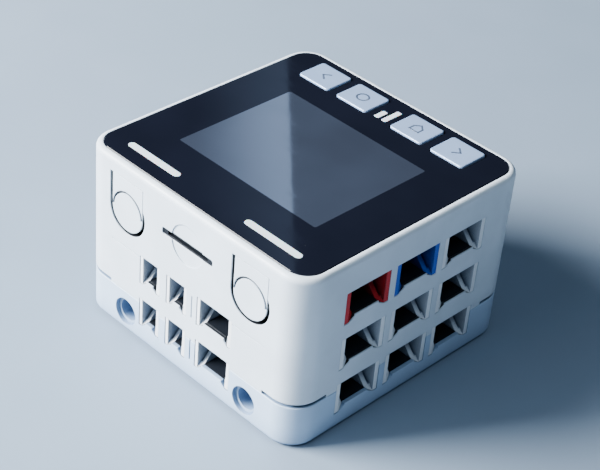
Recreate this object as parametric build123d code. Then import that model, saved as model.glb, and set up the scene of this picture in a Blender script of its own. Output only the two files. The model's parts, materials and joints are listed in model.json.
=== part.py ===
from build123d import *
import os

# Programmable controller cube of a coding-robot kit, in millimetres, +Z up.
# The origin is at the centre of the footprint, at the bottom of the rubber feet.
# The front face looks along -Y, the long row of keys lies along the +Y edge of the top.

# ---- driving dimensions -------------------------------------------------------------
MODULE = 8.0  # pitch of the building beams that the cube mates with
SIDE = 8 * MODULE
HALF = SIDE / 2
FOOT_PROUD = 0.4
BASE_Z = FOOT_PROUD
SEAM_Z = 1.3 * MODULE
CASE_TOP = 5.2 * MODULE
WALL = 2.0
FLOOR = 2.0
CORNER_R = 6.0
RIM_R = 1.2
RIM_DROP = 0.1  # the glass stands this far above the casing's rim
BASE_EDGE_R = 1.0
FIT = 0.1  # gap round a piece that stands in a casing opening
SEAM_BEVEL = 0.15
GROOVE = 0.9
GROOVE_START = 23.0  # the corner grooves begin this far from the middle of a side

PANEL_SIDE = 61.0
PANEL_R = 4.5
PANEL_T = 1.6
PANEL_TOP = CASE_TOP
RIM_TOP = CASE_TOP - RIM_DROP
PANEL_Z = PANEL_TOP - PANEL_T
BOND_T = 0.2
LEDGE_T = 1.3
LEDGE_W = 1.0
RIB_Z = CASE_TOP - 11.0  # lower end of the ribs that carry the two boards under the glass
CAVITY = SIDE - 2 * WALL
CAVITY_R = CORNER_R - WALL

WINDOW_W, WINDOW_D = 39.2, 31.4
WINDOW_Y = -1.6
LCD_W, LCD_D, LCD_T = 44.0, 36.0, 2.4
GASKET_T = 0.4

KEY_X = (-19.2, -7.9, 7.9, 19.2)
KEY_Y = 24.5
KEY_W, KEY_D = 9.0, 7.8
KEY_R = 0.8
KEY_GAP = 0.2
KEY_PROUD = 0.35
KEY_TRAVEL = 0.5
KEY_FLANGE = 0.6
KEY_BOARD_TOP = CASE_TOP - 6.4
TACT_SIDE = 6.0
TACT_TOP = CASE_TOP - 3.3

BAR_W, BAR_D = 15.2, 1.7
BAR_X, BAR_Y = 17.2, -26.0
LENS_GAP = 0.04
STATUS_Y = 24.0
STATUS_BARS = ((-1.05, 3.2), (1.05, 5.4))  # (offset along X, length along Y)
STATUS_W = 1.3
LIGHT_BOARD_TOP = CASE_TOP - 6.1
BOARD_T = 1.0

BUTTON_X = 18.1
BUTTON_Z = 30.8
BUTTON_R = 4.6
BUTTON_ROOT_Z = CASE_TOP - 3.3
BUTTON_SLIT = 0.85
BUTTON_RING_W, BUTTON_RING_DEPTH = 0.5, 0.5
BUTTON_HAIRLINE = 0.15  # the slit is this narrow on the right, above the disc's middle
BUTTON_T = 1.6
BUTTON_ROOT_GAP = 0.1
SIDE_SWITCH_FRONT = 2.85  # from the front face to the switch
NUB_GAP = 0.5  # the nub travels 0.46 mm, so it stops just short of the switch

PORT_DEPTH = 9.5
PORT_SET_BACK = 0.12
ROOF_T = 0.85
ROOF_SET_BACK = 1.4
SILL_H, SILL_T = 1.4, 0.8  # the casing's sill between the two guides of a shroud
GUIDE_SHARE = 0.4  # of a guide's width, its side wall takes this part, and its blade the same
BLADE_FOOT = 1.3  # the blade stands off the wall, but they are one piece up to this height
BLADE_ROOT = 2.5  # and over this length at the back
RAMP_SLOPE = 0.85  # the blade's front edge leans back by this much for each unit of height
INSERT_T = 0.8
PIN_PITCH, NARROW_PIN_PITCH = 1.8, 1.27
PIN_SIDE = 0.5
PIN_LENGTH = 4.0
RIGHT_COLUMNS = (-14.0, 0.0, 14.0)
RIGHT_ROWS = (30.7, 19.4, 8.1)
RIGHT_PORT_W, RIGHT_PORT_H = 12.2, 7.5
RIGHT_GUIDE = 2.8  # from the outside of the shroud to the inner face of its guide
FRONT_ROWS = (18.9, 8.1)
FRONT_COLUMNS = ((-10.8, 6.0, 2), (-2.6, 6.0, 2), (8.6, 10.0, 3))  # (centre, width, pins)
FRONT_PORT_H = 6.8
FRONT_GUIDE = 2.0
PORT_BOARD_T = 1.6

CARD_Z = 32.6
CARD_W, CARD_H = 14.8, 1.6
CARD_LIP = 0.7  # thickness of the wall round the card slot
CARD_SOCKET_TOP = LIGHT_BOARD_TOP - BOARD_T
CARD_NOSE_BACK = 0.25  # from the front face to the front of the card reader
SCOOP_R, SCOOP_DEPTH = 4.6, 0.2

PIN_HOLE_X, PIN_HOLE_Z = 18.2, 5.2
PIN_HOLE_R = 2.45
PIN_MOUTH_R, PIN_MOUTH_DEPTH = 3.2, 0.9
PIN_BOSS_R, PIN_BOSS_L = 3.9, MODULE

BOSS_AT = 26.5
BOSS_R = 3.7
BOSS_TOP = 24.0
CASE_SCREW_R, CASE_HEAD_R, CASE_HEAD_T = 1.0, 2.0, 1.8
CASE_HEAD_SEAT = 3.0
CASE_SCREW_TOP = 17.0

MAIN_Z, MAIN_T = 14.0, 1.6
MAIN_X = (-22.0, 19.0)
MAIN_Y = (-19.0, 22.0)
POST_INSET = 2.6
POST_R = 2.2
BOARD_SCREW_R, BOARD_HEAD_R = 0.95, 1.9

USB_Y, USB_Z = -8.5, 17.2
USB_W, USB_H, USB_LENGTH, USB_SKIN = 8.94, 3.2, 7.3, 0.3
SPEAKER_Y, SPEAKER_Z, SPEAKER_R = 6.0, 26.0, 10.0
GRILLE_HOLE_R, GRILLE_PITCH, GRILLE_RINGS = 0.65, 2.3, 3

LEAD_X, LEAD_Y, LEAD_R, LEAD_PITCH = -19.2, 5.0, 0.5, 2.0
PLUG_Z = (7.2, 10.6)
RIBBON_SOCKET_H = 1.8

FOOT_X, FOOT_Y, FOOT_R, FOOT_T = 25.0, 15.5, 3.5, 1.0

CORNERS = [(sx, sy) for sx in (-1, 1) for sy in (-1, 1)]

# ---- frames on the four side faces: x to the right, y up, z out of the face ----------
FRONT = Plane(origin=(0, -HALF, 0), x_dir=(1, 0, 0), z_dir=(0, -1, 0)).location
RIGHT = Plane(origin=(HALF, 0, 0), x_dir=(0, 1, 0), z_dir=(1, 0, 0)).location
LEFT = Plane(origin=(-HALF, 0, 0), x_dir=(0, -1, 0), z_dir=(-1, 0, 0)).location
BACK = Plane(origin=(0, HALF, 0), x_dir=(-1, 0, 0), z_dir=(0, 1, 0)).location
SIDEWAYS = Plane.YZ.location  # turns a sketch in such a frame: x becomes up, y out of the face


# ---- shapes used all over ------------------------------------------------------------
def span(xs, ys, zs):
    """A box given by its two ends along each axis."""
    centre = [(a + b) / 2 for a, b in (xs, ys, zs)]
    return Pos(*centre) * Box(*[b - a for a, b in (xs, ys, zs)])


def prism(side, radius, z0, z1):
    """A square column with rounded corners, centred on the Z axis."""
    return Pos(0, 0, z0) * extrude(RectangleRounded(side, side, radius), z1 - z0)


def plate(width, depth, radius, x, y, z0, z1):
    """A flat plate with rounded corners."""
    return Pos(x, y, z0) * extrude(RectangleRounded(width, depth, radius), z1 - z0)


def post(x, y, radius, z0, z1):
    """An upright round post, or the cutter for a hole."""
    return Pos(x, y, (z0 + z1) / 2) * Cylinder(radius, z1 - z0)


def on_face(face, u, v, w0, w1, sketch):
    """A sketch centred at (u, v) on a side face, extruded from depth w0 to w1."""
    return face * Pos(u, v, w0) * extrude(sketch, w1 - w0)


def group(solids):
    return Compound(children=list(solids))


def extreme_edges(solid, top):
    """The outline edges of the highest or lowest face."""
    return solid.faces().sort_by(Axis.Z)[-1 if top else 0].edges()


# ---- ports ---------------------------------------------------------------------------
def port_places():
    """Every port as (name, face, u, v, width, height, guide, pins)."""
    places = []
    for row, v in enumerate(RIGHT_ROWS):
        for column, u in enumerate(RIGHT_COLUMNS):
            index = row * len(RIGHT_COLUMNS) + column
            name = ("port_red", "port_blue")[index] if index < 2 else f"right_port_{index - 1}"
            places.append((name, RIGHT, u, v, RIGHT_PORT_W, RIGHT_PORT_H, RIGHT_GUIDE, 4))
    for row, v in enumerate(FRONT_ROWS):
        for column, (u, width, pins) in enumerate(FRONT_COLUMNS):
            name = f"front_port_{row * len(FRONT_COLUMNS) + column + 1}"
            places.append((name, FRONT, u, v, width, FRONT_PORT_H, FRONT_GUIDE, pins))
    return places


def guide_outline(width, height, guide, side):
    """A side wall with its guide, whose lower inner corner is cut away at a slant."""
    top, bottom = height / 2, -height / 2
    outer, inner = width / 2, width / 2 - guide
    points = [
        (outer, bottom), (outer - GUIDE_SHARE * guide, bottom), (inner, bottom + 0.7 * SILL_H),
        (inner, top), (outer, top),
    ]
    return make_face(Polyline(*[(side * x, y) for x, y in points], close=True))


def port_shroud(face, u, v, width, height, guide):
    """An open-ended socket shroud: a roof, and two side walls with a sloping blade inside each."""
    bottom, roof = -height / 2, height / 2 - ROOF_T
    inner = width - 2 * GUIDE_SHARE * guide
    section = Pos(0, roof + ROOF_T / 2) * Rectangle(width, ROOF_T)
    for side in (-1, 1):
        section += guide_outline(width, height, guide, side)
    shroud = on_face(face, u, v, -PORT_DEPTH, -PORT_SET_BACK, section)
    deep = RAMP_SLOPE * (roof - bottom)
    over_ramp = Polyline((bottom, 0), (roof, -deep), (roof, 1), (bottom, 1), close=True)
    shroud -= face * Pos(u - inner / 2, v, 0) * SIDEWAYS * extrude(make_face(over_ramp), inner)
    roof_end = Rectangle(inner, ROOF_T + FIT)
    shroud -= on_face(face, u, v + roof + (ROOF_T + FIT) / 2, -ROOF_SET_BACK, 1, roof_end)
    slot_w, slot_h = (1 - 2 * GUIDE_SHARE) * guide, roof - bottom - BLADE_FOOT
    for side in (-1, 1):
        middle = u + side * (inner - slot_w) / 2
        ends = -PORT_DEPTH + BLADE_ROOT, 1
        shroud -= on_face(face, middle, v + roof - slot_h / 2, *ends, Rectangle(slot_w, slot_h))
    return shroud


def port_insert(face, u, v, width, height, guide):
    """The dark contact carrier that floors and backs one shroud."""
    sill = v - height / 2 + SILL_H
    inner = width - 2 * guide - 2 * FIT
    floor = on_face(face, u, sill - INSERT_T / 2, -PORT_DEPTH, -SILL_T, Rectangle(inner, INSERT_T))
    back_h = height - ROOF_T - SILL_H - 2 * FIT
    back = Rectangle(inner, back_h)
    return floor + on_face(face, u, sill + back_h / 2, -PORT_DEPTH, -PORT_DEPTH + INSERT_T, back)


def port_pins(face, u, v, height, count):
    """The square contacts that stand out of the carrier inside one shroud."""
    pitch = NARROW_PIN_PITCH if count == 2 else PIN_PITCH
    first = u - pitch * (count - 1) / 2
    level = v + (SILL_H - ROOF_T) / 2
    pin = Rectangle(PIN_SIDE, PIN_SIDE)
    ends = -PORT_DEPTH + INSERT_T, -PORT_DEPTH + PIN_LENGTH
    return [on_face(face, first + i * pitch, level, *ends, pin) for i in range(count)]


def port_openings():
    """Cutters for the casing, one for each port: the full outline behind, a raised sill in front."""
    cutters = []
    for _, face, u, v, width, height, guide, _ in port_places():
        full = Rectangle(width + 2 * FIT, height + 2 * FIT)
        hollow = Pos(0, SILL_H / 2) * Rectangle(width + 2 * FIT, height + 2 * FIT - SILL_H)
        for side in (-1, 1):
            hollow += guide_outline(width + 2 * FIT, height + 2 * FIT, guide + FIT, side)
        cutters.append(on_face(face, u, v, -(WALL + 1.0), -SILL_T, full))
        cutters.append(on_face(face, u, v, -SILL_T - 0.01, 1, hollow))
    return cutters


# ---- flex-tongue side buttons ----------------------------------------------------------
def tongue_outline(half_width, top, right=None):
    """A strip with a round lower end, hanging from the level named top."""
    right = half_width if right is None else right
    middle = Pos((right - half_width) / 2, (top + BUTTON_Z) / 2)
    strip = middle * Rectangle(half_width + right, top - BUTTON_Z)
    return strip + Pos(0, BUTTON_Z) * Circle(half_width)


def side_button(x):
    """One tongue: its face disc is marked by a ring groove, and a nub behind meets the switch."""
    outline = tongue_outline(BUTTON_R, BUTTON_ROOT_Z - BUTTON_ROOT_GAP / 2)
    tongue = on_face(FRONT, x, 0, -BUTTON_T, 0, outline)
    above_middle = Pos(0, BUTTON_R) * Rectangle(2 * BUTTON_R, 2 * BUTTON_R)
    ring = (Circle(BUTTON_R - 0.02) - Circle(BUTTON_R - BUTTON_RING_W)) & above_middle
    tongue -= on_face(FRONT, x, BUTTON_Z, -BUTTON_RING_DEPTH, 1, ring)
    nub_end = -SIDE_SWITCH_FRONT + NUB_GAP
    return tongue + on_face(FRONT, x, BUTTON_Z, nub_end, -BUTTON_T + 0.1, Circle(1.2))


def tongue_opening(x):
    top = BUTTON_ROOT_Z + BUTTON_ROOT_GAP / 2
    outline = tongue_outline(BUTTON_R + BUTTON_SLIT, top, right=BUTTON_R + BUTTON_HAIRLINE)
    return on_face(FRONT, x, 0, -(WALL + 0.5), 1, outline)


# ---- casing --------------------------------------------------------------------------
def corner_grooves():
    """The finger grooves that wrap each upright corner just above the seam."""
    zs = (SEAM_Z - 1, SEAM_Z + GROOVE)
    ring = prism(SIDE + 2, CORNER_R + 1, *zs) - prism(SIDE - 2 * GROOVE, CORNER_R - GROOVE, *zs)
    middle, far = (-GROOVE_START, GROOVE_START), (-SIDE, SIDE)
    return ring - span(middle, far, (0, SIDE)) - span(far, middle, (0, SIDE))


def grille_holes():
    """A hexagonal field of round sound holes in front of the speaker."""
    holes = []
    for q in range(1 - GRILLE_RINGS, GRILLE_RINGS):
        for r in range(1 - GRILLE_RINGS, GRILLE_RINGS):
            if abs(q + r) < GRILLE_RINGS:
                u = -SPEAKER_Y + GRILLE_PITCH * (q + r / 2)
                v = SPEAKER_Z + GRILLE_PITCH * r * 3**0.5 / 2
                holes.append(on_face(LEFT, u, v, -(WALL + 0.5), 1, Circle(GRILLE_HOLE_R)))
    return holes


def card_mouth():
    """The card slot: a thin lip, a pocket for the socket behind it, and a shallow round thumb scoop."""
    slot = on_face(FRONT, 0, CARD_Z, -(WALL + 0.5), 1, RectangleRounded(CARD_W, CARD_H, 0.5))
    zs = (CARD_Z - 1.4, CARD_SOCKET_TOP + 0.1)
    pocket = span((-8.3, 8.3), (-HALF + CARD_LIP, -HALF + WALL + 1), zs)
    scoop = on_face(FRONT, 0, CARD_Z, -SCOOP_DEPTH, 1, Circle(SCOOP_R))
    return [slot, pocket, scoop]


def face_lines():
    """Fine engraved lines that mark off the port groups on the front."""
    upright = [on_face(FRONT, 2.05, v, -0.2, 1, Rectangle(0.3, 5.4)) for v in FRONT_ROWS]
    level = [on_face(FRONT, s * 18.4, 21.9, -0.12, 1, Rectangle(9.0, 0.2)) for s in (-1, 1)]
    return upright + level


def upper_shell():
    """The four tall walls, with the rim that holds the glass panel."""
    shell = prism(SIDE, CORNER_R, SEAM_Z, RIM_TOP)
    shell = fillet(extreme_edges(shell, True), RIM_R)
    shell = chamfer(extreme_edges(shell, False), SEAM_BEVEL)
    ledge_top = PANEL_Z - BOND_T
    ledge_bottom = ledge_top - LEDGE_T
    shell -= prism(CAVITY, CAVITY_R, SEAM_Z - 1, ledge_bottom)
    shell -= prism(CAVITY - 2 * LEDGE_W, CAVITY_R - LEDGE_W, ledge_bottom - 1, ledge_top + 1)
    shell -= prism(PANEL_SIDE + 2 * FIT, PANEL_R + FIT, ledge_top, CASE_TOP + 1)
    for sx, sy in CORNERS:
        shell += post(sx * BOSS_AT, sy * BOSS_AT, BOSS_R, SEAM_Z, BOSS_TOP)
        shell -= post(sx * BOSS_AT, sy * BOSS_AT, CASE_SCREW_R + 0.05, SEAM_Z - 1, BOSS_TOP - 2)
    for sx in (-1, 1):
        xs = sorted((sx * 24.2, sx * 27.0))
        shell += span(xs, (-HALF + 1, -26), (RIB_Z, LIGHT_BOARD_TOP - BOARD_T))
        shell += span(xs, (25.5, HALF - 1), (RIB_Z, KEY_BOARD_TOP - BOARD_T))
        shell -= tongue_opening(sx * BUTTON_X)
    usb_mouth = RectangleRounded(USB_W + 0.8, USB_H + 0.8, 1.9)
    shell -= on_face(LEFT, -USB_Y, USB_Z, -(WALL + 0.5), 1, usb_mouth)
    cutters = port_openings() + grille_holes() + card_mouth() + face_lines()
    return shell - group(cutters) - corner_grooves()


def pin_boss(face, u):
    return on_face(face, u, PIN_HOLE_Z, -PIN_BOSS_L, -0.5, Circle(PIN_BOSS_R))


def pin_bore(face, u):
    """A round hole for a building pin, with the shallow wider mouth for the pin's collar."""
    bore = on_face(face, u, PIN_HOLE_Z, -PIN_BOSS_L - 1, 1, Circle(PIN_HOLE_R))
    return bore + on_face(face, u, PIN_HOLE_Z, -PIN_MOUTH_DEPTH, 1, Circle(PIN_MOUTH_R))


def board_posts():
    """The places of the four screws of the main board."""
    xs = (MAIN_X[0] + POST_INSET, MAIN_X[1] - POST_INSET)
    ys = (MAIN_Y[0] + POST_INSET, MAIN_Y[1] - POST_INSET)
    return [(x, y) for x in xs for y in ys]


def base_tray():
    """The shallow tray that closes the bottom, with posts, screw towers and pin holes."""
    tray = prism(SIDE, CORNER_R, BASE_Z, SEAM_Z)
    tray = fillet(extreme_edges(tray, False), BASE_EDGE_R)
    tray = chamfer(extreme_edges(tray, True), SEAM_BEVEL)
    inside = BASE_Z + FLOOR
    tray -= prism(CAVITY, CAVITY_R, inside, SEAM_Z + 1)
    lip = (SEAM_Z - 1.5, SEAM_Z + 1.5)
    edge = HALF - WALL - FIT
    tray += span((-HALF + 1, -edge), (-19, 19), (SEAM_Z - 1.5, SEAM_Z - 0.5))
    tray += span((-edge, -edge + 1), (-19, 19), lip)
    tray += span((-19, 19), (edge - 1, edge), lip)
    tray += span((-19, 19), (edge - 0.5, HALF - 1), (SEAM_Z - 1.5, SEAM_Z - 0.5))
    for sx, sy in CORNERS:
        tray += post(sx * BOSS_AT, sy * BOSS_AT, BOSS_R, inside - 0.5, SEAM_Z)
        tray += pin_boss(BACK if sy > 0 else FRONT, sx * PIN_HOLE_X)
    for x, y in board_posts():
        tray += post(x, y, POST_R, inside - 0.5, MAIN_Z)
        tray -= post(x, y, BOARD_SCREW_R + 0.05, 7.5, MAIN_Z + 1)
    for sx, sy in CORNERS:
        x, y = sx * BOSS_AT, sy * BOSS_AT
        tray -= post(x, y, CASE_SCREW_R + 0.2, BASE_Z, SEAM_Z + 1)
        tray -= post(x, y, CASE_HEAD_R + 0.3, BASE_Z - 1, CASE_HEAD_SEAT)
        tray -= post(sx * FOOT_X, sy * FOOT_Y, FOOT_R + 0.05, BASE_Z - 1, FOOT_T)
        tray -= pin_bore(BACK if sy > 0 else FRONT, sx * PIN_HOLE_X)
    return tray - group(port_openings() + face_lines())


# ---- top ------------------------------------------------------------------------------
def key_outline(gap):
    return KEY_W + 2 * gap, KEY_D + 2 * gap, KEY_R + gap


def bar_slot(x, gap, z0, z1):
    slot = SlotOverall(BAR_W + 2 * gap, BAR_D + 2 * gap)
    return Pos(x, BAR_Y, z0) * extrude(slot, z1 - z0)


def status_bars(gap, z0, z1):
    """The two unequal bars of the status light, level at their front ends."""
    longest = max(length for _, length in STATUS_BARS)
    bars = []
    for x, length in STATUS_BARS:
        y = STATUS_Y - (longest - length) / 2
        bars.append(plate(STATUS_W + 2 * gap, length + 2 * gap, 0.3 + gap, x, y, z0, z1))
    return bars


def top_panel():
    """The dark glass panel, cut through for the window, keys and lights."""
    panel = prism(PANEL_SIDE, PANEL_R, PANEL_Z, PANEL_TOP)
    panel = chamfer(extreme_edges(panel, True), 0.15)
    zs = (PANEL_Z - 1, PANEL_TOP + 1)
    panel -= plate(WINDOW_W, WINDOW_D, 0.4, 0, WINDOW_Y, *zs)
    for x in KEY_X:
        panel -= plate(*key_outline(KEY_GAP), x, KEY_Y, *zs)
    for x in (-BAR_X, BAR_X):
        panel -= bar_slot(x, LENS_GAP, *zs)
    return panel - group(status_bars(LENS_GAP, *zs))


def panel_bond():
    """The adhesive frame between the glass panel and its ledge."""
    zs = (PANEL_Z - BOND_T, PANEL_Z)
    frame = prism(PANEL_SIDE - 0.4, PANEL_R, *zs)
    return frame - prism(CAVITY - 2 * LEDGE_W, CAVITY_R - LEDGE_W, *zs)


def display_gasket():
    """The foam frame that seals the display to the glass."""
    zs = (PANEL_Z - GASKET_T, PANEL_Z)
    frame = plate(LCD_W, LCD_D, 1.0, 0, WINDOW_Y, *zs)
    return frame - plate(WINDOW_W + 0.6, WINDOW_D + 0.6, 0.5, 0, WINDOW_Y, *zs)


def lcd_module():
    """The display: a thin glass stack in a pressed metal tray."""
    top = PANEL_Z - GASKET_T
    return plate(LCD_W, LCD_D, 1.0, 0, WINDOW_Y, top - LCD_T, top)


def key(x):
    """A keycap with the flange that keeps it under the panel and the stem that meets its switch."""
    flange_top = PANEL_Z - FIT
    cap = plate(KEY_W, KEY_D, KEY_R, x, KEY_Y, flange_top - KEY_FLANGE, PANEL_TOP + KEY_PROUD)
    cap = fillet(extreme_edges(cap, True), 0.3)
    wide = (x - KEY_W / 2 - 0.6, x + KEY_W / 2 + 0.6)
    deep = (KEY_Y - KEY_D / 2 + 0.4, KEY_Y + KEY_D / 2 - 0.4)
    cap += span(wide, deep, (flange_top - KEY_FLANGE, flange_top))
    return cap + post(x, KEY_Y, 1.5, TACT_TOP + KEY_TRAVEL + 0.05, flange_top)


def tact_switch(x):
    body = plate(TACT_SIDE, TACT_SIDE, 0.4, x, KEY_Y, KEY_BOARD_TOP, KEY_BOARD_TOP + 2.2)
    return body + post(x, KEY_Y, 1.6, KEY_BOARD_TOP + 2.2, TACT_TOP)


def light_bar(x):
    """A milky light guide: a lens flush with the glass, with a wider foot below it."""
    foot = bar_slot(x, 0.5, PANEL_Z - 0.6, PANEL_Z)
    return bar_slot(x, 0, PANEL_Z, PANEL_TOP) + foot


def status_lens():
    foot = plate(4.6, 6.6, 0.5, 0, STATUS_Y, PANEL_Z - 0.6, PANEL_Z)
    for bar in status_bars(0, PANEL_Z - 0.1, PANEL_TOP):
        foot += bar
    return foot


def light_board():
    """The board under the front edge of the glass, with a tab that carries the card socket."""
    zs = (LIGHT_BOARD_TOP - BOARD_T, LIGHT_BOARD_TOP)
    return span((-26.5, 26.5), (-29, -22), zs) + span((-9, 9), (-23, -15), zs)


def light_leds():
    """Three small lamps under each light bar."""
    xs = [side * BAR_X + step for side in (-1, 1) for step in (-5.0, 0.0, 5.0)]
    zs = (LIGHT_BOARD_TOP, LIGHT_BOARD_TOP + 0.9)
    return [span((x - 1.0, x + 1.0), (BAR_Y - 1.0, BAR_Y + 1.0), zs) for x in xs]


# ---- side switches and card socket ---------------------------------------------------
def side_switch(x):
    """A small push switch lying behind one tongue."""
    w0 = -SIDE_SWITCH_FRONT - 3.5
    body = on_face(FRONT, x, BUTTON_Z, w0, w0 + 2.6, RectangleRounded(5.2, 5.2, 0.4))
    return body + on_face(FRONT, x, BUTTON_Z, w0 + 2.6, -SIDE_SWITCH_FRONT, Circle(1.5))


def side_switch_board(x):
    back = -SIDE_SWITCH_FRONT - 3.5
    ys = (-HALF - back, -HALF - back + BOARD_T)
    return span((x - 4, x + 4), ys, (BUTTON_Z - 3.8, LIGHT_BOARD_TOP - BOARD_T))


def card_socket():
    """A flat card reader, open at its front, with a nose that fills the slot in the casing."""
    ys = (-HALF + CARD_LIP + FIT, -15.0)
    socket = span((-8.0, 8.0), ys, (CARD_Z - 1.2, CARD_SOCKET_TOP))
    nose = RectangleRounded(CARD_W - 2 * FIT, CARD_H - 2 * FIT, 0.4)
    socket += on_face(FRONT, 0, CARD_Z, -CARD_LIP - 1, -CARD_NOSE_BACK, nose)
    return socket - span((-5.8, 5.8), (-HALF, ys[1] - 1.5), (CARD_Z - 0.45, CARD_Z + 0.45))


# ---- left side: charging socket and speaker -------------------------------------------
def usb_socket():
    """The pressed shell of the charging socket, closed at its inner end."""
    outer = RectangleRounded(USB_W, USB_H, 1.5)
    inner = RectangleRounded(USB_W - 2 * USB_SKIN, USB_H - 2 * USB_SKIN, 1.2)
    front, back = -0.4, -0.4 - USB_LENGTH
    tube = on_face(LEFT, -USB_Y, USB_Z, back, front, outer)
    return tube - on_face(LEFT, -USB_Y, USB_Z, back + 1.2, front + 1, inner)


def usb_tongue():
    back = -0.4 - USB_LENGTH + 1.2
    return on_face(LEFT, -USB_Y, USB_Z, back, back + 4.6, RectangleRounded(6.6, 0.7, 0.2))


def speaker_basket():
    """A round frame, open to the grille, with a hole at the back for the voice coil."""
    cup = on_face(LEFT, -SPEAKER_Y, SPEAKER_Z, -WALL - 3.2, -WALL, Circle(SPEAKER_R))
    cup -= on_face(LEFT, -SPEAKER_Y, SPEAKER_Z, -WALL - 2.4, 0, Circle(SPEAKER_R - 1.2))
    return cup - on_face(LEFT, -SPEAKER_Y, SPEAKER_Z, -WALL - 4, 0, Circle(3.6))


def speaker_cone():
    """A thin paper cone, with a flat ring round its mouth."""
    rim_r, throat_r, depth, skin = SPEAKER_R - 1.3, 3.2, 1.5, 0.3
    front = -WALL - 0.5
    back = front - depth
    profile = Polygon(
        (throat_r, back - skin), (throat_r + 0.9, back - skin), (rim_r - 1.2, front - skin),
        (rim_r, front - skin), (rim_r, front), (rim_r - 1.4, front), (throat_r, back),
        align=None,
    )
    turned = revolve(Plane.XZ * profile, Axis.Z)
    return LEFT * Pos(-SPEAKER_Y, SPEAKER_Z, 0) * turned


def speaker_magnet():
    return on_face(LEFT, -SPEAKER_Y, SPEAKER_Z, -WALL - 6.2, -WALL - 3.2, Circle(5.5))


# ---- inside ----------------------------------------------------------------------------
def right_port_board():
    xs = (HALF - PORT_DEPTH - PORT_BOARD_T, HALF - PORT_DEPTH)
    return span(xs, (-20.4, 20.4), (BASE_Z + FLOOR + 0.3, 35.0))


def front_port_board():
    ys = (-HALF + PORT_DEPTH, -HALF + PORT_DEPTH + PORT_BOARD_T)
    return span((-16.0, 15.0), ys, (BASE_Z + FLOOR + 0.3, 28.0))


def main_board():
    """The computer board, with a tab that carries the charging socket."""
    zs = (MAIN_Z, MAIN_Z + MAIN_T)
    board = span(MAIN_X, MAIN_Y, zs)
    board += span((-HALF + WALL + 1, MAIN_X[0] + 1), (USB_Y - 5.5, USB_Y + 5.5), zs)
    for x, y in board_posts():
        board -= post(x, y, BOARD_SCREW_R + 0.2, zs[0] - 1, zs[1] + 1)
    return board


def on_main_board(x, y, width, depth, height):
    """A component that sits on top of the main board."""
    zs = (MAIN_Z + MAIN_T, MAIN_Z + MAIN_T + height)
    return plate(width, depth, 0.2, x, y, *zs)


def board_connectors():
    """Plug strips to the two port boards, and the sockets of the display and the battery."""
    zs = (MAIN_Z + MAIN_T, MAIN_Z + MAIN_T + 2.5)
    to_right = span((MAIN_X[1] - 4, HALF - PORT_DEPTH - PORT_BOARD_T), (-8, 8), zs)
    to_front = span((-10, 6), (-HALF + PORT_DEPTH + PORT_BOARD_T, MAIN_Y[0] + 4), zs)
    display = on_main_board(0, 14, 14, 3.4, RIBBON_SOCKET_H)
    battery = span((LEAD_X - 2.4, LEAD_X + 2.4), (LEAD_Y - 3.2, LEAD_Y + 3.2), (PLUG_Z[1], MAIN_Z))
    return [to_right, to_front, display, battery]


def battery_pack():
    cell = span((-16, 13), (-18, 21), (BASE_Z + FLOOR, BASE_Z + FLOOR + 8))
    return fillet(cell.edges().filter_by(Axis.Y), 1.2)


def battery_leads():
    """Two short wires from the pack's side up into the plug."""
    leads = []
    for y in (LEAD_Y - LEAD_PITCH / 2, LEAD_Y + LEAD_PITCH / 2):
        path = FilletPolyline((-16, y, 4.6), (LEAD_X, y, 4.6), (LEAD_X, y, PLUG_Z[0]), radius=1.2)
        leads.append(sweep(Plane(path @ 0, z_dir=path % 0) * Circle(LEAD_R), path))
    return leads


def battery_plug():
    return span((LEAD_X - 1.8, LEAD_X + 1.8), (LEAD_Y - 2.6, LEAD_Y + 2.6), PLUG_Z)


def display_ribbon():
    """The flat cable that folds from the back of the display down to the main board."""
    top = PANEL_Z - GASKET_T - LCD_T
    foot = MAIN_Z + MAIN_T + RIBBON_SOCKET_H
    points = [(12, top), (12, top - 5), (18.5, top - 11), (14, foot + 3.5), (14, foot)]
    path = FilletPolyline(*[(0, y, z) for y, z in points], radius=2.5)
    start = Plane(path @ 0, x_dir=(1, 0, 0), z_dir=path % 0)
    return sweep(start * Rectangle(12, 0.3), path)


def case_screw(x, y):
    """A cross-head screw that enters from below."""
    head_z = CASE_HEAD_SEAT - CASE_HEAD_T
    screw = post(x, y, CASE_HEAD_R, head_z, CASE_HEAD_SEAT)
    screw += post(x, y, CASE_SCREW_R, CASE_HEAD_SEAT, CASE_SCREW_TOP)
    for width, depth in ((2.4, 0.5), (0.5, 2.4)):
        zs = (head_z - 1, head_z + 0.9)
        screw -= span((x - width / 2, x + width / 2), (y - depth / 2, y + depth / 2), zs)
    return screw


def board_screw(x, y):
    seat = MAIN_Z + MAIN_T
    return post(x, y, BOARD_HEAD_R, seat, seat + 1.2) + post(x, y, BOARD_SCREW_R, 8.0, seat)


def rubber_feet():
    return [post(sx * FOOT_X, sy * FOOT_Y, FOOT_R, 0, FOOT_T) for sx, sy in CORNERS]


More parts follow.
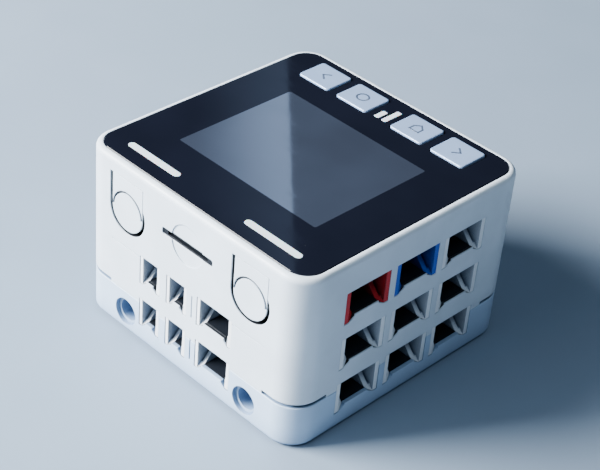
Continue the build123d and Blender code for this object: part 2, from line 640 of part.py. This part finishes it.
# ---- assembly: one node for each piece --------------------------------------------------
nodes = {
    "upper_shell": upper_shell(),
    "base_tray": base_tray(),
    "top_panel": top_panel(),
    "display_window": plate(WINDOW_W, WINDOW_D, 0.4, 0, WINDOW_Y, PANEL_Z, PANEL_TOP),
    "panel_bond": panel_bond(),
    "display_gasket": display_gasket(),
    "lcd_module": lcd_module(),
    "display_ribbon": display_ribbon(),
    "light_bar_left": light_bar(-BAR_X),
    "light_bar_right": light_bar(BAR_X),
    "status_lens": status_lens(),
    "light_board": light_board(),
    "light_leds": group(light_leds()),
    "key_board": span((-26.5, 26.5), (20.8, 29.4), (KEY_BOARD_TOP - BOARD_T, KEY_BOARD_TOP)),
    "key_switches": group(tact_switch(x) for x in KEY_X),
    "side_button_left": side_button(-BUTTON_X),
    "side_button_right": side_button(BUTTON_X),
    "side_switches": group(side_switch(s * BUTTON_X) for s in (-1, 1)),
    "side_switch_boards": group(side_switch_board(s * BUTTON_X) for s in (-1, 1)),
    "card_socket": card_socket(),
    "right_port_board": right_port_board(),
    "front_port_board": front_port_board(),
    "board_connectors": group(board_connectors()),
    "usb_socket": usb_socket(),
    "usb_tongue": usb_tongue(),
    "speaker_basket": speaker_basket(),
    "speaker_cone": speaker_cone(),
    "speaker_magnet": speaker_magnet(),
    "main_board": main_board(),
    "processor_chip": on_main_board(-6, 3, 12, 12, 1.3),
    "motion_sensor_chip": on_main_board(-17, -6, 4, 4, 1.0),
    "wireless_module": on_main_board(8, 5, 13, 11, 2.4),
    "battery_pack": battery_pack(),
    "battery_leads": group(battery_leads()),
    "battery_plug": battery_plug(),
    "board_screws": group(board_screw(x, y) for x, y in board_posts()),
    "case_screws": group(case_screw(sx * BOSS_AT, sy * BOSS_AT) for sx, sy in CORNERS),
    "rubber_feet": group(rubber_feet()),
}
for number, x in enumerate(KEY_X, 1):
    nodes[f"key_{number}"] = key(x)

pins, inserts = [], []
for name, face, u, v, width, height, guide, count in port_places():
    nodes[name] = port_shroud(face, u, v, width, height, guide)
    pins += port_pins(face, u, v, height, count)
    inserts.append(port_insert(face, u, v, width, height, guide))
nodes["port_pins"] = group(pins)
nodes["port_inserts"] = group(inserts)

os.makedirs("parts", exist_ok=True)
for name, shape in nodes.items():
    export_step(shape, f"parts/{name}.step")
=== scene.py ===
import json
import math

import bmesh
import bpy
from mathutils import Matrix, Vector


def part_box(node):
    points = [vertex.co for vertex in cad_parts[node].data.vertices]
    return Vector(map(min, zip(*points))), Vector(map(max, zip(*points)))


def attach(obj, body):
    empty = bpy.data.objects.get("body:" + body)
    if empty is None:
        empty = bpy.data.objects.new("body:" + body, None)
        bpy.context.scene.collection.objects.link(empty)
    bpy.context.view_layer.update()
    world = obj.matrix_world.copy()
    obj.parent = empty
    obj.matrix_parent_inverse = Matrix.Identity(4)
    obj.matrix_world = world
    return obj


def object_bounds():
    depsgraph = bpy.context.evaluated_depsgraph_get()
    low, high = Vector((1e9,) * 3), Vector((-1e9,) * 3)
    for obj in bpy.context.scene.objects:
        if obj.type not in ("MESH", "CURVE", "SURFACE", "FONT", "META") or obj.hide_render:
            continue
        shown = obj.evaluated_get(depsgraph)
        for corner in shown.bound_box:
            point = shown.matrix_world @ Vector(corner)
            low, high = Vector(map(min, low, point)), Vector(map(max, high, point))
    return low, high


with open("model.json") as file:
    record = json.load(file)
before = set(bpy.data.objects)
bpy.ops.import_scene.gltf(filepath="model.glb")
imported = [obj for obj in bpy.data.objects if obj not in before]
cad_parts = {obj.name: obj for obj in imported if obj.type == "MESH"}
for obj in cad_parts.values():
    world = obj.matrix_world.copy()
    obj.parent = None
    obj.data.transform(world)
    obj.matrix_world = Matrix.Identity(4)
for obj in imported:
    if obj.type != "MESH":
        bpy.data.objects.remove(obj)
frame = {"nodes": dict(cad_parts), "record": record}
CAD_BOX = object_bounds()
NODES = frame["nodes"]
MM = 0.001

CENTRE = (CAD_BOX[0] + CAD_BOX[1]) / 2
SHELL_LOW, SHELL_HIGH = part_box("upper_shell")
WINDOW_LOW, WINDOW_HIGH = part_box("display_window")
PANEL_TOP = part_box("top_panel")[1].z
BUTTON_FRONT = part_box("side_button_left")[0].y
SPEAKER_MIDDLE = sum(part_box("speaker_cone"), Vector()) / 2


# ---- placing -----------------------------------------------------------------------------
def direction(azimuth, elevation):
    """The unit vector from the object towards a viewer at that azimuth and elevation."""
    flat = math.cos(elevation)
    return Vector((math.sin(azimuth) * flat, -math.cos(azimuth) * flat, math.sin(elevation)))


def link(obj):
    bpy.context.scene.collection.objects.link(obj)


def aim_at_centre(obj, azimuth, elevation, distance, roll=0.0):
    """Adds a camera or lamp to the scene, looking at the object's centre. The angles are in degrees."""
    back = direction(math.radians(azimuth), math.radians(elevation))
    aim = (-back).to_track_quat("-Z", "Y").to_matrix()
    turn = Matrix.Rotation(-math.radians(roll), 3, -back)
    obj.rotation_mode = "QUATERNION"
    obj.rotation_quaternion = (turn @ aim).to_quaternion()
    obj.location = CENTRE + back * distance
    link(obj)


def make_camera():
    data = bpy.data.cameras.new("camera")
    data.lens = 97.0
    data.clip_start, data.clip_end = 0.01, 20.0
    camera = bpy.data.objects.new("camera", data)
    aim_at_centre(camera, azimuth=42.6, elevation=35.6, distance=0.340, roll=5.2)
    bpy.context.scene.camera = camera
    return camera


# ---- node helpers ------------------------------------------------------------------------
NOISE_SPREAD = (0.3, 0.7)  # nearly all of a noise texture's values lie between these
FACE_TURN, EDGE_TURN = 0.995, 0.8  # cosine between true and rounded normals, on a face and on an edge


class Tree:
    """A material's node tree, with short calls for the nodes used here."""

    def __init__(self, name):
        self.material = bpy.data.materials.new(name)
        self.material.use_nodes = True
        self.nodes = self.material.node_tree.nodes
        self.links = self.material.node_tree.links
        self.shader = self.nodes["Principled BSDF"]
        self.coordinates = self.add("ShaderNodeTexCoord").outputs["Object"]

    def add(self, kind, **settings):
        node = self.nodes.new(kind)
        for key, value in settings.items():
            setattr(node, key, value)
        return node

    def feed(self, socket, value):
        """Links a socket to another node's output, or sets it to a constant."""
        if isinstance(value, bpy.types.NodeSocket):
            self.links.new(value, socket)
        else:
            socket.default_value = value

    def set(self, **values):
        """Sets or links the shader's inputs, named with _ for a space."""
        for key, value in values.items():
            self.feed(self.shader.inputs[key.replace("_", " ")], value)

    def scaled(self, stretch):
        """The coordinates, with a pattern packed more tightly along an axis by its stretch."""
        if tuple(stretch) == (1, 1, 1):
            return self.coordinates
        node = self.add("ShaderNodeMapping")
        self.feed(node.inputs["Vector"], self.coordinates)
        node.inputs["Scale"].default_value = stretch
        return node.outputs["Vector"]

    def noise(self, size, detail=4.0, rough=0.5, stretch=(1, 1, 1)):
        """Noise with features about size metres across, from 0 to 1."""
        node = self.add("ShaderNodeTexNoise")
        self.feed(node.inputs["Vector"], self.scaled(stretch))
        node.inputs["Scale"].default_value = 1 / size
        node.inputs["Detail"].default_value = detail
        node.inputs["Roughness"].default_value = rough
        return node.outputs["Fac"]

    def varied(self, size, low=0.0, high=1.0, detail=4.0):
        """Noise that ranges from low to high, such as a roughness that isn't quite even."""
        return self.remap(self.noise(size, detail=detail), *NOISE_SPREAD, low, high)

    def cells(self, size, output="Distance"):
        """A cell pattern with cells about size metres across."""
        node = self.add("ShaderNodeTexVoronoi")
        self.feed(node.inputs["Vector"], self.coordinates)
        node.inputs["Scale"].default_value = 1 / size
        return node.outputs[output]

    def axis(self, letter):
        node = self.add("ShaderNodeSeparateXYZ")
        self.feed(node.inputs[0], self.coordinates)
        return node.outputs[letter]

    def math(self, operation, a, b=0.0):
        node = self.add("ShaderNodeMath", operation=operation)
        self.feed(node.inputs[0], a)
        self.feed(node.inputs[1], b)
        return node.outputs[0]

    def vector(self, operation, a, b=(0, 0, 0), output="Vector"):
        node = self.add("ShaderNodeVectorMath", operation=operation)
        self.feed(node.inputs[0], a)
        self.feed(node.inputs[1], b)
        return node.outputs[output]

    def remap(self, value, low, high, to_low=0.0, to_high=1.0):
        """Eases smoothly from to_low, where value is low or less, to to_high."""
        node = self.add("ShaderNodeMapRange")
        node.interpolation_type = "SMOOTHSTEP"
        self.feed(node.inputs["Value"], value)
        for key, number in zip(("From Min", "From Max", "To Min", "To Max"), (low, high, to_low, to_high)):
            node.inputs[key].default_value = number
        return node.outputs["Result"]

    def mix(self, factor, a, b):
        """Mixes two colours."""
        node = self.add("ShaderNodeMix", data_type="RGBA")
        self.feed(node.inputs["Factor"], factor)
        self.feed(node.inputs["A"], (*a, 1) if isinstance(a, tuple) else a)
        self.feed(node.inputs["B"], (*b, 1) if isinstance(b, tuple) else b)
        return node.outputs["Result"]

    def edges(self, radius):
        """1 along sharp edges and 0 on flat faces, from a rounded normal, which is also returned."""
        bevel = self.add("ShaderNodeBevel", samples=4)
        bevel.inputs["Radius"].default_value = radius
        true = self.add("ShaderNodeNewGeometry").outputs["Normal"]
        turn = self.vector("DOT_PRODUCT", bevel.outputs["Normal"], true, output="Value")
        return self.remap(turn, FACE_TURN, EDGE_TURN), bevel.outputs["Normal"]

    def bump(self, height, distance, normal=None):
        node = self.add("ShaderNodeBump")
        node.inputs["Strength"].default_value = 1.0
        node.inputs["Distance"].default_value = distance
        self.feed(node.inputs["Height"], height)
        if normal is not None:
            self.feed(node.inputs["Normal"], normal)
        return node.outputs["Normal"]


def tint(color, factor):
    return tuple(min(1.0, c * factor) for c in color)


# ---- painted inner shade masks -----------------------------------------------------------
PAINTED_INNER_SHADE = (0.012, 0.014, 0.018)  # painted shade: the dark colour given to the surfaces inside the walls
INNER_SHADE_DEPTH = 0.25 * MM  # it begins this far below their faces
INNER_SHADE_LOW = SHELL_LOW.z + 0.1 * MM
INNER_SHADE_HIGH = PANEL_TOP - 2.0 * MM
CORNER_R = 6.0 * MM


def inner_shade_mask(t):
    """1 on the upper shell's inner surfaces, which get painted shade, and 0 on its faces, rounded corners
    and rim.
    """
    reach = SHELL_HIGH.x - CORNER_R
    folded = t.vector("ABSOLUTE", t.vector("MULTIPLY", t.coordinates, (1, 1, 0)))
    past = t.vector("MAXIMUM", t.vector("SUBTRACT", folded, (reach, reach, 0)), (0, 0, 0))
    inner = t.math("LESS_THAN", t.vector("LENGTH", past, output="Value"), CORNER_R - INNER_SHADE_DEPTH)
    level = t.axis("Z")
    band = t.math("MULTIPLY", t.math("GREATER_THAN", level, INNER_SHADE_LOW), t.math("LESS_THAN", level, INNER_SHADE_HIGH))
    return t.math("MULTIPLY", inner, band)


def button_shade_mask(t):
    """1 on the side buttons behind their front faces and in the grooves round their discs, for painted
    shade.
    """
    return t.math("GREATER_THAN", t.axis("Y"), BUTTON_FRONT + INNER_SHADE_DEPTH)


# ---- materials ---------------------------------------------------------------------------
SEAM_REACH, FOOT_REACH, PIT_REACH = 1.2 * MM, 5.0 * MM, 12.0 * MM  # how near a wall has to be to shade
SEAM_SHADE = 0.22
MOULD_GRAIN_DEPTH = 0.01 * MM


def moulded_plastic(name, color, rough=0.4, grain=0.22 * MM, wear=0.35, edge=0.25 * MM, inside_shade=None,
                    shade=0.42, pit_shade=0.0, shade_tint=(0.42, 0.5, 0.6), gloss=0.5):
    """Injection-moulded plastic: spark-eroded grain, faint flow mottling and edges polished by hands.

    Painted shade darkens it towards its colour times a shade tint: a little in seams, by shade at the foot
    of a wall, and by a deeper strength far inside a hole.
    """
    t = Tree(name)
    mottle = t.noise(11 * MM, detail=3)
    speck = t.noise(0.9 * MM, detail=5, rough=0.6)
    worn, rounded = t.edges(edge)
    base = t.mix(t.remap(mottle, 0.35, 0.65), tint(color, 0.95), tint(color, 1.03))
    base = t.mix(t.remap(speck, 0.62, 0.75, 0.0, 0.10), base, tint(color, 0.86))
    base = t.mix(t.math("MULTIPLY", worn, wear * 0.5), base, tint(color, 1.16))
    # painted shade: seams, wall foots and the depths of holes are darkened by occlusion towards this colour
    deepest_shade = tuple(c * h for c, h in zip(color, shade_tint))
    for reach, strength in ((SEAM_REACH, SEAM_SHADE), (FOOT_REACH, shade), (PIT_REACH, pit_shade)):
        only_local = reach != PIT_REACH  # what lies deep in a hole is mostly other pieces
        open_sky = t.add("ShaderNodeAmbientOcclusion", samples=4, only_local=only_local)
        open_sky.inputs["Distance"].default_value = reach
        base = t.mix(t.remap(open_sky.outputs["AO"], 0.2, 0.8, strength, 0.0), base, deepest_shade)
    handled = t.varied(6 * MM, rough - 0.04, rough + 0.06)
    worn_rough = t.math("SUBTRACT", handled, t.math("MULTIPLY", worn, wear * 0.3))
    # painted shade: surfaces seen through openings and grooves are darkened to near black
    if inside_shade:
        base = t.mix(inside_shade(t), base, PAINTED_INNER_SHADE)
    t.set(Base_Color=base, Roughness=worn_rough, IOR=1.5, Specular_IOR_Level=gloss)
    height = t.math("ADD", t.noise(grain, detail=2), t.math("MULTIPLY", speck, 0.3))
    t.set(Normal=t.bump(height, MOULD_GRAIN_DEPTH, normal=rounded))
    return t


def printed_glass(name, color, ior, smudge=0.05, gloss=0.5):
    """Polished glass, printed behind: faint wiping smears, and a little fine dust."""
    t = Tree(name)
    smear = t.noise(9 * MM, detail=6, rough=0.62, stretch=(1, 2.6, 1))
    dust = t.remap(t.cells(1.6 * MM), 0.0, 0.035, 1.0, 0.0)
    sparse = t.remap(t.noise(4 * MM, detail=2), 0.58, 0.66)
    fleck = t.math("MULTIPLY", dust, sparse)
    depth = t.mix(t.varied(20 * MM, detail=2), tint(color, 0.9), tint(color, 1.12))
    t.set(Base_Color=t.mix(t.math("MULTIPLY", fleck, 0.35), depth, (0.5, 0.52, 0.55)))
    polish = 0.035
    base_rough = t.remap(smear, 0.45, 0.8, polish, polish + smudge)
    t.set(Roughness=t.math("ADD", base_rough, t.math("MULTIPLY", fleck, 0.3)))
    t.set(IOR=ior, Specular_IOR_Level=gloss)
    t.set(Normal=t.bump(t.noise(13 * MM, detail=2), 0.006 * MM))
    return t


def satin_key(name, color):
    """Silver-white keycap: pearl pigment under a satin varnish, rubbed at the edges."""
    t = Tree(name)
    pearl = t.add("ShaderNodeSeparateColor")
    t.feed(pearl.inputs[0], t.cells(0.12 * MM, output="Color"))
    flake = t.remap(pearl.outputs[0], 0.0, 1.0, 0.0, 0.25)
    worn, rounded = t.edges(0.3 * MM)
    base = t.mix(flake, color, tint(color, 1.15))
    base = t.mix(t.remap(t.noise(4 * MM), 0.35, 0.7, 0.0, 0.4), base, tint(color, 0.93))
    base = t.mix(t.math("MULTIPLY", worn, 0.3), base, tint(color, 1.3))
    t.set(Base_Color=base, Roughness=t.varied(3 * MM, 0.28, 0.4, detail=5))
    t.set(Metallic=0.25, IOR=1.5)
    t.set(Normal=t.bump(t.noise(0.3 * MM, detail=3), 0.004 * MM, normal=rounded))
    return t


def milky_guide(name, color):
    """The light guides: milky, slightly translucent acrylic with a frosted face."""
    t = Tree(name)
    cloud = t.varied(2.5 * MM, detail=3)
    t.set(Base_Color=t.mix(cloud, tint(color, 0.94), tint(color, 1.03)))
    t.set(Roughness=t.varied(1.5 * MM, 0.3, 0.42))
    t.set(Subsurface_Weight=0.35, Subsurface_Scale=1.5 * MM, IOR=1.49)
    _, rounded = t.edges(0.15 * MM)
    t.set(Normal=t.bump(t.noise(0.2 * MM, detail=2), 0.003 * MM, normal=rounded))
    return t


def worked_metal(name, color, rough, brush=(1, 1, 1), dulled=0.86):
    """Pressed, plated or brushed metal: fine drag lines, dulled patches and bright edges."""
    t = Tree(name)
    lines = t.noise(0.6 * MM, detail=6, rough=0.7, stretch=brush)
    worn, rounded = t.edges(0.12 * MM)
    base = t.mix(t.remap(t.noise(3 * MM), 0.35, 0.7), color, tint(color, dulled))
    t.set(Base_Color=t.mix(t.math("MULTIPLY", worn, 0.5), base, tint(color, 1.25)))
    t.set(Metallic=1.0, Roughness=t.remap(lines, *NOISE_SPREAD, rough - 0.07, rough + 0.09))
    t.set(Normal=t.bump(lines, 0.005 * MM, normal=rounded))
    return t


def circuit_board(name, color):
    """Solder mask over copper: straight tracks, pads and fibre grain."""
    t = Tree(name)
    brick = t.add("ShaderNodeTexBrick", offset=0.37, squash=0.6)
    t.feed(brick.inputs["Vector"], t.scaled((1, 1, 1.3)))
    brick.inputs["Scale"].default_value = 700
    brick.inputs["Mortar Size"].default_value = 0.05
    tracks = t.math("MULTIPLY", brick.outputs["Fac"], t.remap(t.noise(5 * MM, detail=1), 0.48, 0.52))
    pads = t.math("LESS_THAN", t.cells(2.3 * MM), 0.14)
    base = t.mix(tracks, color, tint(color, 1.9))
    base = t.mix(t.math("MULTIPLY", pads, 0.8), base, (0.5, 0.45, 0.32))
    t.set(Base_Color=base, Roughness=t.varied(0.8 * MM, 0.24, 0.4, detail=3), IOR=1.5)
    t.set(Normal=t.bump(t.math("ADD", tracks, pads), 0.02 * MM))
    return t


def soft_rubber(name, color):
    """Rubber or foam: pebbled, dusty and matt."""
    t = Tree(name)
    pebble = t.cells(0.4 * MM)
    dusty = t.remap(t.noise(3 * MM, detail=5), 0.5, 0.75, 0.0, 0.35)
    t.set(Base_Color=t.mix(dusty, color, tint(color, 2.6)))
    t.set(Roughness=t.remap(pebble, 0.0, 0.6, 0.7, 0.88))
    t.set(Normal=t.bump(pebble, 0.03 * MM))
    return t


def striped_film(name, color, stripe, pitch, axis):
    """Flat-cable film: amber base with parallel conductors showing through."""
    t = Tree(name)
    phase = t.math("MULTIPLY", t.axis(axis), 2 * math.pi / pitch)
    wave = t.remap(t.math("SINE", phase), -0.1, 0.25)
    base = t.mix(wave, color, stripe)
    t.set(Base_Color=t.mix(t.remap(t.noise(4 * MM), 0.4, 0.7, 0.0, 0.3), base, tint(color, 0.7)))
    t.set(Roughness=t.varied(2 * MM, 0.22, 0.36), Coat_Weight=0.4)
    t.set(Normal=t.bump(wave, 0.03 * MM))
    return t


def pressed_paper(name, color, centre, ring_pitch=1.1 * MM):
    """The speaker cone: paper fibres and pressed rings round its middle."""
    t = Tree(name)
    offset = t.vector("DISTANCE", t.coordinates, centre, output="Value")
    rings = t.math("SINE", t.math("MULTIPLY", offset, 2 * math.pi / ring_pitch))
    fibre = t.noise(0.3 * MM, detail=6, rough=0.7, stretch=(1, 1, 3))
    t.set(Base_Color=t.mix(t.remap(fibre, 0.35, 0.7), color, tint(color, 1.9)))
    t.set(Roughness=t.remap(fibre, *NOISE_SPREAD, 0.75, 0.92))
    t.set(Normal=t.bump(t.math("ADD", rings, fibre), 0.06 * MM))
    return t


def foil_pouch(name, color):
    """The battery's aluminium pouch: creased film over flat cells."""
    t = Tree(name)
    crease = t.noise(6 * MM, detail=7, rough=0.65)
    t.set(Base_Color=t.mix(t.remap(crease, 0.35, 0.7), color, tint(color, 0.78)))
    t.set(Metallic=0.85, Roughness=t.varied(2 * MM, 0.24, 0.4))
    t.set(Normal=t.bump(crease, 0.2 * MM))
    return t


# ---- finishes by record slot ---------------------------------------------------------------
WHITE = (0.68, 0.755, 0.83)
BASE_WHITE_PAINTED_BLUE_LIGHT = (0.48, 0.62, 0.79)  # the base is painted a bluer white: painted blue light reflected up from below
PORT_SHADE = (0.10, 0.14, 0.20)  # painted shade: how far a colour darkens deep inside the ports
BORE_SHADE = (0.16, 0.24, 0.36)  # and the painted shade deep inside the pin holes
DARK_MOULDING = (0.03, 0.03, 0.032)
KEY_INK = (0.075, 0.10, 0.15)


# port nylon, with strong painted shade deep inside the ports
def port_plastic(name, color):
    return moulded_plastic(name, color, rough=0.34, edge=0.3 * MM, wear=0.6, shade=0.5, pit_shade=0.95,
                           shade_tint=PORT_SHADE)


def make_finishes():
    """One material for each material slot of the record."""
    made = {
        # the casing's insides and the buttons' grooves get painted shade
        "casing": moulded_plastic("casing_plastic", WHITE, inside_shade=inner_shade_mask),
        "button_face": moulded_plastic("button_plastic", WHITE, rough=0.37, inside_shade=button_shade_mask),
        "glass_black": printed_glass("panel_glass", (0.0045, 0.0055, 0.0105), ior=1.3, gloss=0.3),
        "window_grey": printed_glass("window_glass", (0.024, 0.030, 0.046), ior=2.5, smudge=0.03),
        "adhesive": soft_rubber("bond_tape", (0.02, 0.02, 0.021)),
        "foam": soft_rubber("seal_foam", DARK_MOULDING),
        "lcd_metal": worked_metal("display_tray_steel", (0.62, 0.62, 0.63), 0.32, brush=(12, 1, 1)),
        "ribbon": striped_film("ribbon_film", (0.42, 0.17, 0.03), (0.62, 0.3, 0.08), 0.9 * MM, "X"),
        "light_guide": milky_guide("light_guide_acrylic", (0.72, 0.77, 0.81)),
        "circuit_board": circuit_board("board_mask", (0.005, 0.012, 0.011)),
        "lamp": milky_guide("lamp_resin", (0.85, 0.8, 0.5)),
        "switch_body": moulded_plastic("switch_plastic", DARK_MOULDING, rough=0.42),
        "key_face": satin_key("key_varnish", (0.29, 0.40, 0.60)),
        "pressed_metal": worked_metal("tinned_sheet", (0.66, 0.66, 0.67), 0.28, brush=(1, 8, 1)),
        "chip": moulded_plastic("chip_epoxy", (0.018, 0.018, 0.02), rough=0.5, grain=0.12 * MM),
        "connector": moulded_plastic("connector_nylon", (0.74, 0.71, 0.62), rough=0.45),
        "port_white": port_plastic("port_white_nylon", (0.92, 0.95, 0.98)),
        "port_red": port_plastic("port_red_nylon", (0.58, 0.014, 0.022)),
        "port_blue": port_plastic("port_blue_nylon", (0.010, 0.10, 0.54)),
        "port_dark": moulded_plastic("port_carrier_nylon", (0.005, 0.007, 0.011), rough=0.55, gloss=0.2),
        "contact": worked_metal("contact_gold", (0.86, 0.62, 0.24), 0.24, brush=(10, 1, 1), dulled=0.8),
        "speaker_frame": moulded_plastic("speaker_frame_plastic", (0.03, 0.03, 0.03), rough=0.5),
        "speaker_paper": pressed_paper("speaker_paper", DARK_MOULDING, SPEAKER_MIDDLE),
        "magnet_steel": worked_metal("magnet_plate_steel", (0.5, 0.5, 0.51), 0.36),
        "battery_wrap": foil_pouch("battery_pouch", (0.6, 0.62, 0.64)),
        "wire": moulded_plastic("wire_sleeve", (0.42, 0.02, 0.02), rough=0.38),
        "screw": worked_metal("screw_zinc", (0.56, 0.57, 0.6), 0.3),
        "foot_rubber": soft_rubber("foot_rubber", DARK_MOULDING),
    }
    return {slot: tree.material for slot, tree in made.items()}


def dress_nodes(finishes):
    """Gives every CAD node the material of its record slot, apart from the base, painted bluer for blue
    light from below.
    """
    slot_of = {part["node"]: part["material_slot"] for part in frame["record"]["subparts"]}
    # painted light: blue light from below in its colour, and painted shade deep in the pin holes
    base = moulded_plastic("base_plastic", BASE_WHITE_PAINTED_BLUE_LIGHT, rough=0.42, shade=0.7, pit_shade=0.8, shade_tint=BORE_SHADE)
    for name, node in NODES.items():
        node.data.materials.clear()
        node.data.materials.append(base.material if name == "base_tray" else finishes[slot_of[name]])


# ---- key symbols -----------------------------------------------------------------------------
SYMBOL_PROUD = 0.010 * MM
SYMBOL_SINK = 0.05 * MM
STROKE = 0.42 * MM
SHARPEST_MITRE = 0.35  # the cosine beyond which a corner of a stroke gets no longer
SAME_POINT = 1e-8

# The symbols' lines, in millimetres about the key's middle.
RING_R, RING_STEPS = 1.35, 40
CHEVRON = ((0.7, 1.3), (-0.75, 0.0), (0.7, -1.3))
HOUSE = ((-1.2, -1.2), (-1.2, 0.35), (0, 1.45), (1.2, 0.35), (1.2, -1.2))


def stroke_outline(points, width, closed):
    """The quads of a stroke along a line of points, each as four corners, with mitred joints."""
    count = len(points)
    left, right = [], []
    for i, p in enumerate(points):
        before = points[i - 1] if (i > 0 or closed) else None
        after = points[(i + 1) % count] if (i < count - 1 or closed) else None
        runs = [(a, b) for a, b in ((before, p), (p, after)) if a is not None and b is not None]
        ways = [(b - a).normalized() for a, b in runs]
        normals = [Vector((-w.y, w.x)) for w in ways]
        side = sum(normals, Vector((0, 0))).normalized()
        reach = width / 2 / max(SHARPEST_MITRE, side.dot(normals[0]))
        left.append(p + side * reach)
        right.append(p - side * reach)
    last = count if closed else count - 1
    return [(left[i], left[(i + 1) % count], right[(i + 1) % count], right[i]) for i in range(last)]


def symbol_lines():
    """Four generic key symbols, each as its points and whether its line is closed."""
    angles = [2 * math.pi * i / RING_STEPS for i in range(RING_STEPS)]
    ring = [(RING_R * math.cos(a), RING_R * math.sin(a)) for a in angles]
    mirrored = [(-x, y) for x, y in CHEVRON]
    return [(CHEVRON, False), (ring, True), (HOUSE, True), (mirrored, False)]


def build_symbol(name, key_name, points, closed, material):
    """A thin printed symbol on one keycap."""
    low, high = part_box(key_name)
    middle = (low + high) / 2
    top, bottom = high.z + SYMBOL_PROUD, high.z - SYMBOL_SINK
    bm = bmesh.new()
    for quad in stroke_outline([Vector(p) * MM for p in points], STROKE, closed):
        upper = [bm.verts.new((middle.x + p.x, middle.y + p.y, top)) for p in quad]
        lower = [bm.verts.new((middle.x + p.x, middle.y + p.y, bottom)) for p in quad]
        bm.faces.new(upper)
        bm.faces.new(reversed(lower))
        for i in range(4):
            j = (i + 1) % 4
            bm.faces.new((upper[i], lower[i], lower[j], upper[j]))
    bmesh.ops.remove_doubles(bm, verts=bm.verts, dist=SAME_POINT)
    bmesh.ops.recalc_face_normals(bm, faces=bm.faces)
    mesh = bpy.data.meshes.new(name)
    bm.to_mesh(mesh)
    bm.free()
    mesh.materials.append(material)
    piece = bpy.data.objects.new(name, mesh)
    link(piece)
    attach(piece, key_name)


# ---- studio ----------------------------------------------------------------------------------
FLOOR_DARK, FLOOR_LIGHT = (0.215, 0.28, 0.365), (0.235, 0.305, 0.39)
FLOOR_HALF = 4.0
FLOOR_GLOW = (0.37, 0.45, 0.53)  # keeps the floor pale far beyond the reach of the lamps
GLOW_START, GLOW_FULL = 0.2, 1.2  # metres from the object
WORLD_COLOR, WORLD_STRENGTH = (0.52, 0.70, 1.0), 0.06

# The mirrored edge of the card runs across the glass between these points.
GLEAM_NEAR = Vector((WINDOW_HIGH.x - 5.0 * MM, WINDOW_LOW.y - 1.0 * MM, PANEL_TOP))
GLEAM_FAR = Vector((WINDOW_LOW.x - 0.5 * MM, WINDOW_HIGH.y, PANEL_TOP))
CARD_DISTANCE = 0.75
CARD_OVERHANG = 0.16  # past both ends of the gleam
CARD_WIDTH, CARD_FADE = 0.30, 0.07
CARD_COLOR = (0.46, 0.65, 1.0)
CARD_EDGE_GLOW, CARD_FAR_GLOW = 1.6, 0.12


def area_light(name, azimuth, elevation, distance, size, power, color):
    data = bpy.data.lights.new(name, "AREA")
    data.shape = "RECTANGLE"
    data.size, data.size_y = size
    data.energy = power
    data.color = color
    lamp = bpy.data.objects.new(name, data)
    lamp.visible_camera = False
    aim_at_centre(lamp, azimuth, elevation, distance)


def make_lights():
    area_light("key_light", azimuth=-44, elevation=30, distance=0.9, size=(0.5, 0.35), power=53.0,
               color=(0.95, 0.975, 1.0))
    area_light("left_fill", azimuth=-20, elevation=40, distance=0.9, size=(0.6, 0.5), power=3.0,
               color=(0.78, 0.89, 1.0))
    area_light("corner_fill", azimuth=34, elevation=24, distance=0.25, size=(0.1, 0.1), power=0.04,
               color=(0.62, 0.80, 1.0))
    area_light("right_top", azimuth=80, elevation=66, distance=1.0, size=(0.3, 0.3), power=1.9,
               color=(0.62, 0.81, 1.0))


def one_quad(name, corners, material):
    mesh = bpy.data.meshes.new(name)
    mesh.from_pydata([tuple(c) for c in corners], [], [(0, 1, 2, 3)])
    mesh.materials.append(material)
    sheet = bpy.data.objects.new(name, mesh)
    link(sheet)
    return sheet


def make_floor():
    """A plain pale floor that runs far past the object."""
    t = Tree("floor_paint")
    t.set(Base_Color=t.mix(t.varied(0.25, detail=3), FLOOR_DARK, FLOOR_LIGHT))
    t.set(Roughness=t.varied(20 * MM, 0.5, 0.62, detail=3))
    far = t.vector("LENGTH", t.coordinates, output="Value")
    t.set(Emission_Color=(*FLOOR_GLOW, 1), Emission_Strength=t.remap(far, GLOW_START, GLOW_FULL))
    signs = ((-1, -1), (1, -1), (1, 1), (-1, 1))
    floor = one_quad("floor", [(x * FLOOR_HALF, y * FLOOR_HALF, 0) for x, y in signs], t.material)


def make_world():
    world = bpy.data.worlds.new("studio")
    world.use_nodes = True
    background = world.node_tree.nodes["Background"]
    background.inputs["Color"].default_value = (*WORLD_COLOR, 1)
    background.inputs["Strength"].default_value = WORLD_STRENGTH
    bpy.context.scene.world = world


def make_gloss_card(camera):
    """The glowing card whose straight edge is mirrored across the glass, along the window's diagonal."""
    mirrored = camera.location.copy()
    mirrored.z = 2 * PANEL_TOP - mirrored.z

    def onto_card(point):
        return point + (point - mirrored).normalized() * CARD_DISTANCE

    start, end = onto_card(GLEAM_NEAR), onto_card(GLEAM_FAR)
    along = (end - start).normalized()
    start, end = start - along * CARD_OVERHANG, end + along * CARD_OVERHANG
    side = along.cross((CENTRE - start).normalized()).normalized()
    if side.dot(Vector((-1, -1, 0))) < 0:
        side.negate()
    t = Tree("card_glow")
    from_edge = t.vector("SUBTRACT", t.coordinates, (start + end) / 2)
    across = t.vector("DOT_PRODUCT", from_edge, side, output="Value")
    glow = t.add("ShaderNodeEmission")
    glow.inputs["Color"].default_value = (*CARD_COLOR, 1)
    t.feed(glow.inputs["Strength"], t.remap(across, 0.0, CARD_FADE, CARD_EDGE_GLOW, CARD_FAR_GLOW))
    t.feed(t.nodes["Material Output"].inputs["Surface"], glow.outputs[0])
    corners = [start, end, end + side * CARD_WIDTH, start + side * CARD_WIDTH]
    card = one_quad("gloss_card", corners, t.material)
    card.visible_camera = False
    card.visible_shadow = False


# ---- assembly ----------------------------------------------------------------------------------
camera = make_camera()
dress_nodes(make_finishes())
ink = moulded_plastic("key_ink", KEY_INK, rough=0.35).material
for number, (points, closed) in enumerate(symbol_lines(), 1):
    build_symbol(f"key_symbol_{number}", f"key_{number}", points, closed, ink)
make_floor()
make_world()
make_gloss_card(camera)
make_lights()
